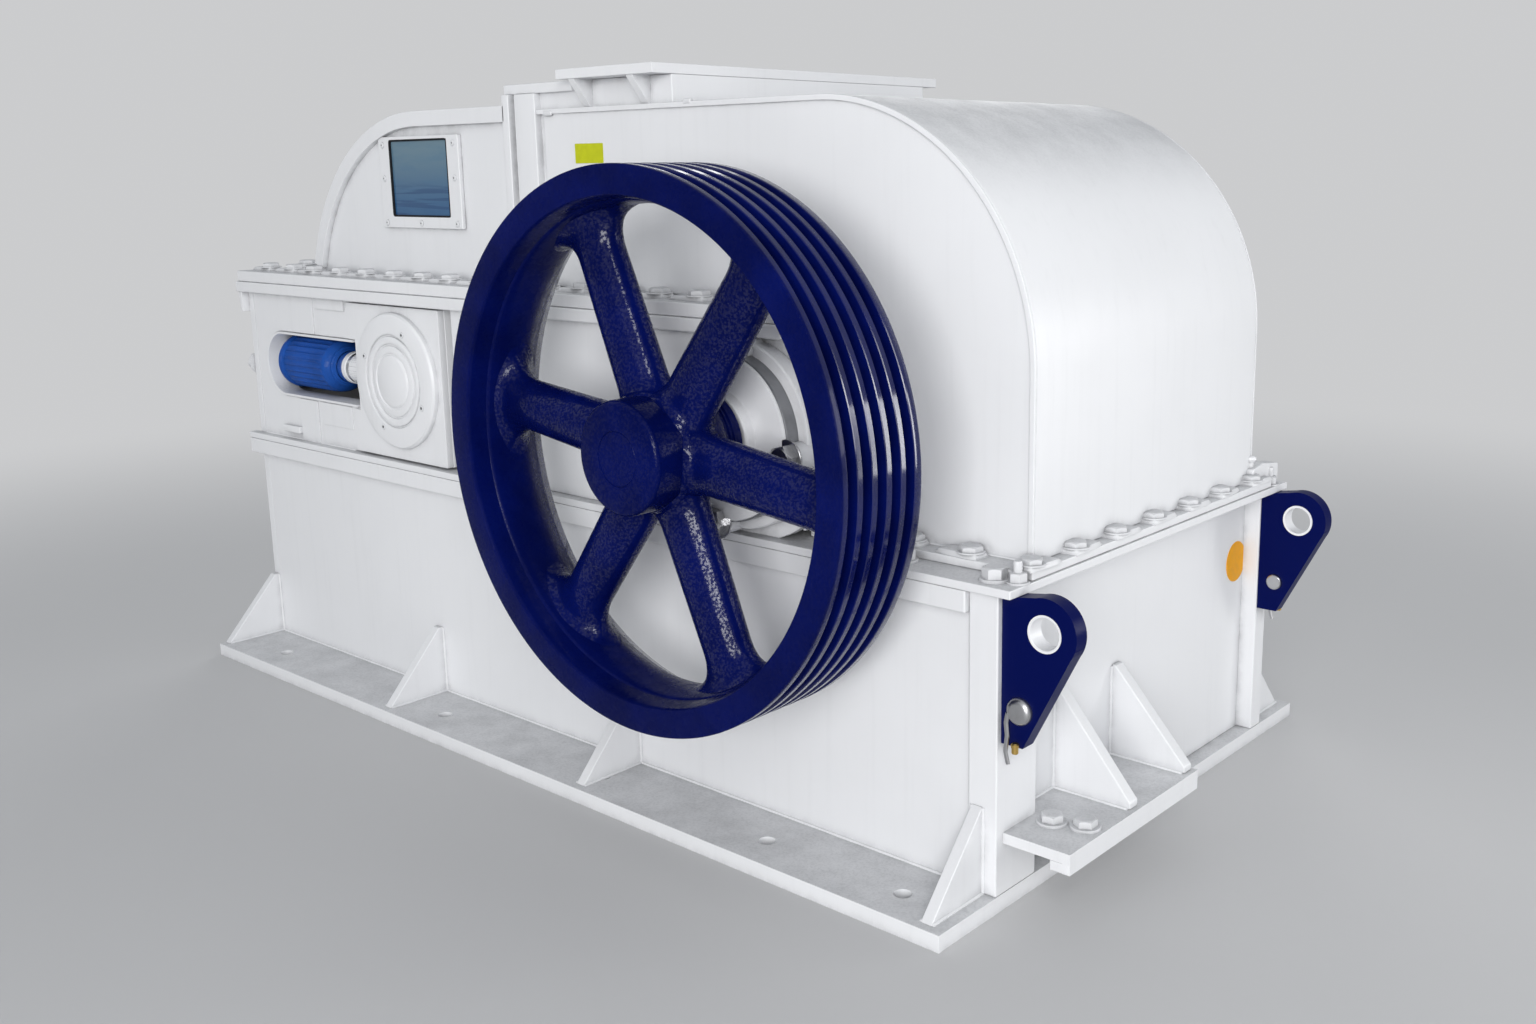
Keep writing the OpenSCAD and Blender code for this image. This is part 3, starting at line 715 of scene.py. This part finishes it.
open_housing = [
    (81.5, -90), (106, -90), (108, -88), (108, 0), (221, 0), (225, 4), (225, 44), (222, 49), (215, 50), (203, 50),
    (199, 52), (197, 56), (197, 90), (195, 95), (190, 97), (150, 99), (124, 103), (117, 106), (115, 110), (115, 128),
    (112, 133), (107, 135), (98, 135), (96, 132), (95, 127), (84, 127), (81.5, 124)]
closed_housing = [
    (0, 85), (58, 85), (60, 83), (62, 85), (150, 85), (176, 84), (183, 80), (185, 74), (185, 63), (188, 60), (217, 60),
    (223, 57), (225, 52), (225, 4), (221, 0), (108, 0), (108, -88), (106, -90), (81.5, -90), (81.5, 40), (0, 40)]
quarters = -7.6 + 90 * np.arange(4)
for name, line, y, out, radius, seat, metal in (
        ("fixed_bearing_front", open_housing, side_y, -1, 203, 92, turned),
        ("fixed_bearing_back", closed_housing, -side_y, 1, 197, 60, white_bolts)):
    housing = revolved(line, (fixed_x, y, axis_z), (0, out, 0))
    made(name + "_housing", housing, white_plain, angle=30, stands_for=(name,))
    made(name + "_bolts", flange_bolts(fixed_x, y + out * seat, out, radius, quarters, 30), metal)
# A band of dark grey steel round the side of the cover's step, which makes that side dark.
band = [(195, 53), (200.5, 53), (200.5, 88), (199, 90), (195, 90)]
made("fixed_bearing_cover_band", revolved(band, (fixed_x, side_y, axis_z), FRONT, 128), dark_band_steel, angle=30)
ear = [(0, 42), (29, 42), (33, 40), (34.5, 36), (35, 0), (35, -40), (0, -40)]
made("fixed_bearing_front_ears", turned_at(ear, ring_spots(fixed_x, side_y - 50, 203, quarters), 40), white_plain)

cover_line = [
    (0, 10), (72, 10), (77, 8), (80, 4.5), (84, 4.5), (87, 7), (103, 7), (106, 5.5), (108, 2), (112, 2), (114, 5.5),
    (117, 7), (131, 7), (134, 5.5), (136, 1), (139.5, 1), (141.5, 5.5), (144, 7), (190, 7), (200, 4), (205, -2),
    (206, -8), (206, -33), (0, -33)]
made("movable_cover_front", revolved(cover_line, (movable_x, block_lo[1], axis_z), FRONT), white_plain,
     "movable_blocks", angle=30)
screw_spots = ring_spots(movable_x, block_lo[1] - 7, 158, [65, 155, 245, 335])
screw_head = [(0, 1), (4, 1), (4.5, 2.2), (8, 2.6), (9.5, 1.5), (9.5, -4), (0, -4)]
# Painted shade: a dark disc in each screw's socket stands for the shade inside it.
socket_shade = [(0, 1.4), (4, 1.4), (4, -2), (0, -2)]
made("movable_cover_screws", turned_at(screw_head, screw_spots, 24), white_bolts, "movable_blocks")
made("movable_cover_screw_hole_shade", turned_at(socket_shade, screw_spots, 16), rubber_and_hole_shade, "movable_blocks")
eighths = 22.5 + 45 * np.arange(8)
made("movable_bearing_back_bolts", flange_bolts(movable_x, -side_y + 25, 1, 178, eighths, 16), white_bolts,
     "movable_blocks")

slot_x, slot_r = wall_lo[0] + 170, 106
slot_top, slot_low = axis_z + slot_r, axis_z - slot_r


def block_face(node, out):
    """The plate over the block's face, with a tongue above and one below the slot that cover the sliding gap."""
    low, high = lo_hi(node)
    face = low[1] + 35 if out < 0 else -side_y - 10
    tongues = [block((low[0] - 36, face + out * 13, a), (low[0] + 30, face + out * 20, b), 1, 2, "y")
               for a, b in ((slot_top + 3, high[2] - 1), (low[2] + 1, slot_low - 3))]
    plate = block((low[0] + 1, face - out * 2, low[2] + 1), (high[0] - 1, face + out * 21, high[2] - 1), 1.5, 3, "y")
    return merged([plate] + tongues)


made("movable_block_face_front", block_face("movable_block_front", -1), white, "movable_blocks")
made("movable_block_face_back", block_face("movable_block_back", 1), white, "movable_blocks")


# Thrust cylinders
def ribbed_barrel():
    """Barrel of a thrust cylinder along X: radius = body radius plus a rib that rises as the fifth power of a cosine
    26 times round, faded out towards both end rings."""
    start = thrust_lo[0] + 210
    length, ribs = thrust_hi[0] - start, 26
    line = [(0, 70), (0, 84), (4, 88), (16, 88), (20, 84), (24, 81)]
    line += [(x, 81) for x in np.linspace(30, length - 40, 9)]
    line += [(length - x, r) for x, r in ((30, 82), (22, 84), (16, 83), (9, 78), (4, 71), (0, 66))]
    x, body = np.array(line).T[:, :, None]
    angle = np.linspace(0, TURN, ribs * 8, endpoint=False)
    fade = np.clip((x - 24) / 10, 0, 1) * np.clip((length - 24 - x) / 12, 0, 1)
    radius = body + 5.5 * np.abs(np.cos(ribs / 2 * angle))[None] ** 5 * fade
    y, z = cylinder_y + radius * np.cos(angle), axis_z + radius * np.sin(angle)
    return skin(np.stack([start + x + 0 * radius, y, z], -1))


gland = revolved([(50.6, -30), (65, -30), (65, 5), (62, 8), (58, 9), (56, 13), (52, 13), (50.6, 11)],
                 (thrust_hi[0], cylinder_y, axis_z), RIGHT, 64)
saddle = block((wall_lo[0], cylinder_y - 30, axis_z - 60), (thrust_lo[0] + 230, cylinder_y + 35, axis_z + 60), 5)
coupling = [(28, 0), (47, 0), (50, 3), (50, 88), (48, 90), (42, 91), (41, 94), (41, 101), (42, 104), (50, 105),
            (52, 107), (52, 126), (49, 130), (28, 130)]
coupling = revolved(coupling, (block_lo[0] - 40, cylinder_y, axis_z), LEFT, 64)
screw = revolved([(0, -49), (25, -49), (28, -46), (28, 60), (0, 60)], (end_pad, cylinder_y, axis_z), RIGHT, 32)
made("thrust_cylinder_barrels", both_sides(ribbed_barrel(), gland), blue, angle=40,
     stands_for=("thrust_cylinders",))
made("thrust_cylinder_saddles", both_sides(saddle), white_plain)
made("push_rod_couplings", both_sides(coupling), white_plain, "movable_blocks")
made("adjusting_screws", both_sides(screw), turned)
made("adjusting_nut_set", placed(bolt(50, 32, 66, 6), twins(end_pad, cylinder_y, axis_z), LEFT, 0.3), white_bolts,
     stands_for=("adjusting_nuts",))


# Slots: a collar round each, joint strips and stops beside it, and the brackets and nuts on the left end
def over_arc(x, z, radius, start, end, steps=40):
    angle = np.radians(np.linspace(start, end, steps))
    return np.stack([x + radius * np.cos(angle), z + radius * np.sin(angle)], 1)


def slot_collar():
    """A U-shaped band in the slot: half circles of two radii about the slot's end, joined by straight legs."""
    end = slot_hi[0] - 4
    outer, inner = (np.concatenate([[(end, axis_z + r)], over_arc(slot_x, axis_z, r, 90, 270, 36), [(end, axis_z - r)]])
                    for r in (slot_r - 0.4, slot_r - 8))
    return slab(np.concatenate([outer, inner[::-1]]), plate_back - 5, plate_back + 66, "y", 1.5)


def face_strip(x0, x1, z0, z1, proud=4):
    return block((x0, plate_back - proud, z0), (x1, plate_back + 1, z1), 1.2, 2, "y")


window_low, window_top = slot_lo[2], slot_hi[2]
strip_end = slot_hi[0] - 42
made("slot_collars", both_sides(slot_collar()), white)
made("slot_joint_strips", both_sides(
    face_strip(slot_x + 80, slot_x + 205, slot_top + 3, window_top - 1),
    face_strip(slot_x + 80, slot_x + 190, window_low + 1, slot_low - 3),
    face_strip(slot_x + 218, strip_end, window_low + 66, slot_low - 3, 2.5),
    face_strip(slot_x + 225, strip_end, window_top - 36, window_top - 1, 6)), white)
stop = block((slot_x - 21, plate_back - 16, window_low + 22), (slot_x + 83, plate_back, window_low + 44), 3)
made("window_stops", both_sides(stop), white)
hanger = [(beam_lo[0] + 5, window_top + 1), (end_pad, window_top + 1), (end_pad, window_top - 66),
          (beam_lo[0] + 12, window_top - 62)]
made("end_hangers", both_sides(slab(rounded(hanger, [2, 2, 2, 12]), plate_back - 24, plate_back + 12, "y")), white)
lock_spots = twins(end_pad, plate_back + 24, axis_z - 14)
made("end_lock_nuts", placed(bolt(30, 26, 40, 7, 10), lock_spots, LEFT, 0.4), white_bolts)

# Bolted joints
seat_top, foot_top, flange_top, shelf_top = seat_hi[2], foot_hi[2], flange_hi[2], shelf_hi[2]


def clamp():
    """A cast clamp under a six-sided head: a pad along X whose top swells as one minus the fourth powers of the
    distances along and across, with a head on a washer near one end."""
    length, width, height = 116, 52, 13
    u, v = np.meshgrid(np.linspace(-1, 1, 25), np.linspace(-1, 1, 13), indexing="ij")
    along, across = u * length / 2, v * width / 2 * (1 - 0.16 * u ** 4)
    top = height * (0.3 + 0.7 * np.sqrt(np.clip((1 - u ** 8) * (1 - v ** 6), 0, 1))) * (1 - 0.12 * u)
    rows = [np.concatenate([g, g[::-1] * [1, 1, 0]]) for g in np.stack([along, across, top], -1)]
    points, blocks = bolt(24, 12, 33, 3)
    return merged([skin(rows), (points + [-0.22 * length, 0, height * 0.8], blocks)])


def clamp_row(name, spots, turn):
    """Clamps set along a line, each a little off its neighbours in place and turn."""
    spots = np.array(spots, float)
    spots[:, :2] += chance.uniform(-4, 4, (len(spots), 2))
    made(name, placed(clamp(), spots, UP, turn + chance.uniform(-0.09, 0.09, len(spots))), white_bolts)


outwards = -math.pi / 2
row = np.concatenate([np.linspace(seat_lo[0] + 75, left_hi[0] - 92, 9), np.linspace(chute_hi[0], seat_hi[0] - 60, 4),
                      np.linspace(right_lo[0] - 100, right_lo[0] + 360, 4)])
clamp_row("front_beam_clamps", [(x, cover_y - 80, seat_top) for x in row], outwards)
clamp_row("back_beam_clamps", [(x, 80 - cover_y, seat_top) for x in row], outwards)
clamp_row("left_beam_clamps", [(seat_lo[0] + 60, y, seat_top) for y in np.linspace(-420, 420, 6)], math.pi)
row = np.linspace(foot_lo[1] + 48, foot_hi[1] - 60, 7)
clamp_row("end_flange_clamps", [(foot_hi[0] - 22, y, foot_top) for y in row], math.pi)
clamp_row("side_flange_clamps", sum([twins(foot_lo[0] + x, foot_hi[1] - 30, foot_top) for x in (100, 260, 420)], []),
          outwards)
corner_spots = sum([twins(flange_hi[0] - x, flange_hi[1] - 52, flange_top) for x in (75, 320, 490)], [])
made("corner_bolts", placed(bolt(24, 24, 34, 6), corner_spots, UP), white_bolts)
stud_spots = twins(flange_hi[0] - 24, flange_hi[1] - 63, flange_top)
made("corner_studs", placed(bolt(18, 20, 26, 4, 24), stud_spots, UP), white_bolts)
shelf_spots = [(base_hi[0] + 55, shelf_lo[1] + 110, shelf_top), (shelf_hi[0] - 45, shelf_lo[1] + 135, shelf_top)]
made("shelf_bolts", placed(bolt(23, 17, 35, 6), shelf_spots, UP), white_bolts)

# Lifting lugs: sleeves, pins, and the keepers of the pins with their ferrules
lug_y = lug_lo[1]
sleeve = [(41, 1), (36.5, 1), (35, -0.5), (35, -41.5), (41, -42)]
made("lug_sleeves", both_sides(revolved(sleeve, (lug_lo[0] + 105, lug_y, flange_top - 87), FRONT, 64)), white_plain)
pin_x, pin_z = (pin_lo[0] + pin_hi[0]) / 2, (pin_lo[2] + pin_hi[2]) / 2
pin_line = [(0, 15), (17, 15), (24, 13.5), (29, 9), (30.7, 4), (30.7, 1), (20.4, 0.5), (20.4, -48), (18, -50), (0, -50)]
made("lug_pin_set", both_sides(revolved(pin_line, (pin_x, lug_y, pin_z), FRONT, 48)), turned,
     stands_for=("lug_pins",))

# Right end: a bracket on the flange's far corner, a block on its near one, and a pad on the shelf's near corner
edge_x, bracket_y = flange_hi[0] - 62, flange_hi[1] - 170
bracket = [(bracket_y, flange_top), (bracket_y + 155, flange_top), (bracket_y + 155, flange_top + 54),
           (bracket_y + 60, flange_top + 66), (bracket_y, flange_top + 58)]
knob = [(0, 31), (11, 31), (15, 28), (16, 22), (13, 15), (9, 12), (9, -6), (0, -6)]
made("far_corner_bracket", [slab(rounded(bracket, [3, 3, 8, 20, 12]), edge_x, edge_x + 40, "x", 3),
                            revolved(knob, (edge_x + 20, bracket_y + 22, flange_top + 60), UP, 32)], white)
corner, pad = (edge_x, flange_lo[1] + 74, flange_top), (shelf_hi[0] - 50, shelf_lo[1] - 1, shelf_top - 48)
made("near_corner_block", block(corner, np.add(corner, (32, 51, 20)), 3), white)
made("shelf_corner_pad", block(pad, np.add(pad, (48, 35, 23)), 3), white)
bends = np.array([(-26, -8), (-30, -30), (-27, -60), (-31, -95), (-24, -122)])
dx, dz = (np.interp(np.linspace(0, 4, 41), range(5), bends[:, i]) for i in (0, 1))
keeper = along_path(np.stack([pin_x + dx, lug_y - 8 + 0 * dx, pin_z + dz], 1), circle(4.2, 10) * [1.3, 0.8], BACK)
made("pin_keepers", both_sides(keeper), turned)
ferrule = revolved([(0, 0), (6, 0), (7.5, 2), (7.5, 14), (9, 15), (9, 21), (6, 24), (0, 24)],
                   (pin_x - 6, lug_y - 9, pin_z - 94), UP, 24)
made("pin_keeper_ferrules", both_sides(ferrule), brass)

# Inspection window: gasket, pane, screws
ring = rounded(rectangle(pane_lo[0], pane_lo[2], pane_hi[0], pane_hi[2]), 8, 5)
ring = np.stack([ring[:, 0], np.full(len(ring), pane_lo[1] - 1), ring[:, 1]], 1)
lip = [(-3.5, -3), (3.5, -3), (3.5, 4), (2, 5), (-2, 5), (-3.5, 4)]
made("window_gasket", along_path(ring, lip, FRONT, True), rubber_and_hole_shade)
pane = rounded(rectangle(pane_lo[0] - 2, pane_lo[2] - 2, pane_hi[0] + 2, pane_hi[2] + 2), 8, 5)
made("window_pane", slab(pane, pane_lo[1], pane_hi[1], "y", 1), glass, stands_for=("inspection_glass",))
sash_x = [sash_lo[0] + 24, (sash_lo[0] + sash_hi[0]) / 2, sash_hi[0] - 24]
sash_z = [sash_lo[2] + 15, (pane_lo[2] + pane_hi[2]) / 2, sash_hi[2] - 24]
sash_spots = [(x, sash_lo[1], z) for x in sash_x for z in sash_z if x != sash_x[1] or z == sash_z[0]]
button = [(0, 2.5), (2, 2.5), (2.4, 4), (6, 4.4), (9, 2.5), (9.5, 0.5), (9.5, -2), (0, -2)]
made("window_frame_screws", turned_at(button, sash_spots, 20), white_bolts)
# Painted shade: a dark disc in each screw's socket stands for the shade inside it.
made("window_frame_screw_hole_shade", turned_at([(0, 3.4), (3.4, 3.4), (3.4, 1), (0, 1)], sash_spots, 16), rubber_and_hole_shade)


# Cover trims
def trim(line, wide, proud):
    """A flat bar bent along the edge of a side sheet: its outer rim follows the line, its inner rim lies a width
    inside."""
    step = unit(np.gradient(line, axis=0))
    inner = line + wide * np.stack([step[:, 1], -step[:, 0]], 1)
    return slab(np.concatenate([line, inner[::-1]]), cover_y - proud, cover_y, "y", 1.5)


left_r, right_r = 640, 595
left_top, right_top = left_hi[2], right_hi[2]
left_line = np.concatenate([
    over_arc(movable_x, left_top - left_r, left_r, 164, 91), [(movable_x + 80, left_top), (left_hi[0] - 1, left_top)]])
made("left_cover_rim", both_sides(trim(left_line, 44, 20)), white)
bend_x, rim_start = right_hi[0] - right_r, right_lo[0] - 22
right_line = np.concatenate([
    [(x, right_top) for x in np.linspace(rim_start, bend_x - 20, 12)],
    over_arc(bend_x, right_top - right_r, right_r, 90, 0.5), [(right_hi[0], foot_top + 200), (right_hi[0], foot_top)]])
made("right_cover_rim", both_sides(trim(right_line, 13, 7)), white)
bars = [(chute_lo[0] + 6, -20, chute_lo[0] + 36), (chute_lo[0] + 52, -12, rim_start)]
bars = [block((a, cover_y + y, seat_top), (b, cover_y + 12, right_top + 43), 3) for a, y, b in bars]
made("chute_edge_bars", both_sides(*bars), white)
stops = [((chute_hi[0] + 55, cover_y - 9, right_top - 6), (chute_hi[0] + 82, cover_y + 4, right_top + 7)),
         ((right_lo[0] + 8, cover_y - 10, right_top - 18), (right_lo[0] + 44, cover_y, right_top - 4))]
made("top_edge_stops", both_sides(*[block(a, b, 4) for a, b in stops]), white_bolts)


# Welds
def weld_set(name, runs, size, mirrored=True):
    """Weld beads along straight runs, each given as its two ends."""
    beads = merged([bead(run, UP if run[0][2] == run[1][2] else RIGHT, size) for run in runs])
    made(name, both_sides(beads) if mirrored else beads, bead_paint)


def run_x(start, end, y, z):
    return [(start, y, z), (end, y, z)]


base_top = base_hi[2]
runs = []
for x in (base_lo[0] + 15, base_lo[0] + 990, base_hi[0] - 1180, base_hi[0] - 50):
    wall = side_y - (15 if x > post_lo[0] else 0)
    for foot in (x + side for side in ((15,) if x < wall_lo[0] else (-15, 15))):
        runs += [[(foot, wall, base_top), (foot, wall, gusset_hi[2] - 3)],
                 [(foot, wall, base_top), (foot, base_lo[1] + 24, base_top)]]
runs += [run_x(base_lo[0] + 32, post_lo[0] - 2, side_y, base_top),
         [(post_lo[0] - 1, side_y, base_top + 8), (post_lo[0] - 1, side_y, flange_lo[2] - 52)]]
weld_set("side_wall_welds", runs, 5.5)
runs = [run_x(slot_lo[0] + inset, slot_hi[0] - 40, plate_back, z) for inset, z in ((8, window_low), (4, window_top))]
weld_set("window_plate_welds", runs, 4)
weld_set("cover_foot_welds", [
    run_x(chute_hi[0] + 60, seat_hi[0] - 4, cover_y, seat_top), run_x(seat_lo[0] + 300, left_hi[0], cover_y, seat_top),
    run_x(foot_lo[0] + 60, foot_hi[0] - 52, cover_y, foot_top)], 4)
end_x = end_hi[0]
ribs = [gusset_lo[1] + across for across in (0, 35, 255, 290)]
runs = [run_x(end_x + 3, shelf_hi[0] - 18, y, shelf_top) for y in ribs]
runs += [[(end_x, y, shelf_top + 3), (end_x, y, shelf_top + 225)] for y in ribs]
runs += [[(end_x, post_lo[1] + 160, shelf_top), (end_x, shelf_hi[1] - 6, shelf_top)]]
weld_set("foot_welds", runs, 5, False)

# Places that carry a plate on such machines, left bare
plate_x, plate_z = right_lo[0] + 127, right_top - 144
plate = rounded(rectangle(plate_x, plate_z, plate_x + 113, plate_z + 51), 2, 3)
made("blank_plate", slab(plate, cover_y - 1.2, cover_y + 1, "y", 0.4), yellow)
mark = over_arc(end_hi[1] - 45, shelf_top + 346, 56, 0, 352.5, 48)
made("round_mark", slab(mark, end_x - 1, end_x + 1.2, "x", 0.4), orange)

# ---- floor, light, camera ----
BACKDROP = (0.60, 0.605, 0.615, 1)


def camera_sees(factor, shader, kind):
    """The backdrop's tone in place of a shader, by a factor."""
    seen = put(factor, kind, {"Color": BACKDROP, "Strength": 1.0}).outputs[0]
    return put(factor, "MixShader", {0: factor, 1: shader.outputs[0], 2: seen}).outputs[0]


def floor_bowl():
    """A round floor that stays flat to nine metres and then rises as the square of the distance past that."""
    reach = np.concatenate([np.linspace(0, 9, 10), np.linspace(9.5, 20, 30)])
    rise = np.broadcast_to(0.055 * np.clip(reach - 9, 0, None)[:, None] ** 2, (len(reach), 96))
    points, blocks = skin(np.concatenate([reach[:, None, None] * circle(1, 96), rise[:, :, None]], 2))
    return points, [blocks[0][:, ::-1]]


def studio_grey(name, tone):
    """Plain floor paint near the machine that fades, for the camera only, into the backdrop's own tone far out."""
    material, surface, place = finish(name, Roughness=0.75)
    drift = ranged(noise(place, 0.6, 3, 0.5), 0.3, 0.7)
    wire(surface, Base_Color=blended(drift, (tone * 0.985, tone * 0.985, tone * 0.99), (tone, tone, tone * 1.005)))
    far = ranged(put(place, "VectorMath", {0: place}, operation="LENGTH").outputs["Value"], 2.6, 6.5)
    seen = times(far, put(place, "LightPath").outputs["Is Camera Ray"])
    wire(material.node_tree.nodes["Material Output"], Surface=camera_sees(seen, surface, "Emission"))
    return material


mesh = meshed("studio_floor", floor_bowl(), 1)
mesh.shade_smooth()
mesh.materials.append(studio_grey("studio grey", 0.56))
floor = shown("studio_floor", mesh)

world = bpy.data.worlds.new("studio")
bpy.context.scene.world = world
world.use_nodes = True
tree = world.node_tree
sky = tree.nodes["Background"]
sky.inputs["Color"].default_value = (0.93, 0.96, 1.0, 1)
sky.inputs["Strength"].default_value = 0.56
by_eye = put(tree, "LightPath").outputs["Is Camera Ray"]
wire(tree.nodes["World Output"], Surface=camera_sees(by_eye, sky, "Background"))


def lamp(name, spot, aim, size, power, spread=180):
    """A soft rectangular lamp aimed at a point; sizes in metres, power in watts, spread in degrees."""
    data = bpy.data.lights.new(name, "AREA")
    data.shape, data.energy, data.spread = "RECTANGLE", power, np.radians(spread)
    data.size, data.size_y = size
    body = shown(name, data)
    body.location = spot
    body.rotation_euler = (Vector(aim) - Vector(spot)).to_track_quat("-Z", "Y").to_euler()
    body.visible_camera = False


lamp("key", (5.5, -5.0, 3.8), (0.2, -0.3, 0.9), (1.5, 3.2), 115)
lamp("front_fill", (5.2, -8.5, 2.4), (0.2, -0.3, 0.8), (5.0, 3.0), 440)
lamp("end_fill", (7.0, 2.5, 2.2), (0.8, 0.2, 0.9), (3.5, 2.5), 45)
lamp("rim_strip", (4.1, 2.6, 1.15), (1.5, -0.9, 1.05), (0.6, 1.7), 5, 70)
lamp("back_fill", (-4.0, 6.0, 3.6), (-0.2, 0.2, 0.9), (4.5, 3.0), 130)

lens = bpy.data.cameras.new("camera")
lens.sensor_width, lens.lens, lens.shift_x, lens.shift_y = 36.0, 34.16, -0.0529, -0.0270
lens.clip_end = 100
camera = shown("camera", lens)
turn, pitch, roll = (math.radians(a) for a in (40.55, 11.74, -0.73))
aim = Matrix.Rotation(turn, 4, "Z") @ Matrix.Rotation(math.pi / 2 - pitch, 4, "X") @ Matrix.Rotation(roll, 4, "Z")
camera.matrix_world = Matrix.Translation((3.192, -3.069, 1.601)) @ aim
bpy.context.scene.camera = camera
bpy.context.scene.view_settings.view_transform = "Standard"
